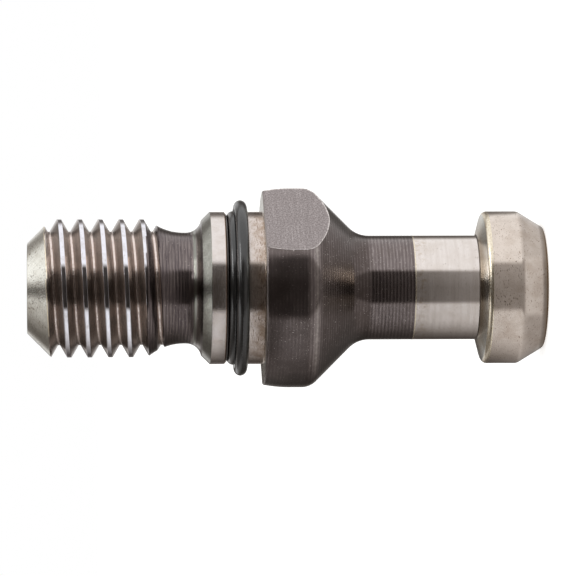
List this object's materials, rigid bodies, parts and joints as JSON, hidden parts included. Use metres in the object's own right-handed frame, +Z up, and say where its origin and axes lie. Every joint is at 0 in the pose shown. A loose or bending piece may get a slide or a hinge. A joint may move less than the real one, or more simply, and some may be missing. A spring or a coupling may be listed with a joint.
{
  "type": "pull stud",
  "caption": "Steel pull stud for a taper tool holder: threaded end, sealing groove with rubber rings, collar with wrench flats, slim neck and gripping head.",
  "frame": {"origin": "middle of the flat end of the head, on which the stud stands", "axes": "+Z up along the stud's axis, from the head to the thread; the wrench flats face -Y and +Y"},
  "size_m": [0.017, 0.015, 0.044],
  "materials": {
    "stud_steel": "turned and ground steel, part of it oxide black",
    "seal_rubber": "satin black rubber"
  },
  "bodies": {
    "root": {"stud_body": "stud_steel", "seated_seal_ring": "seal_rubber", "riding_seal_ring": "seal_rubber"}
  },
  "joints": []
}
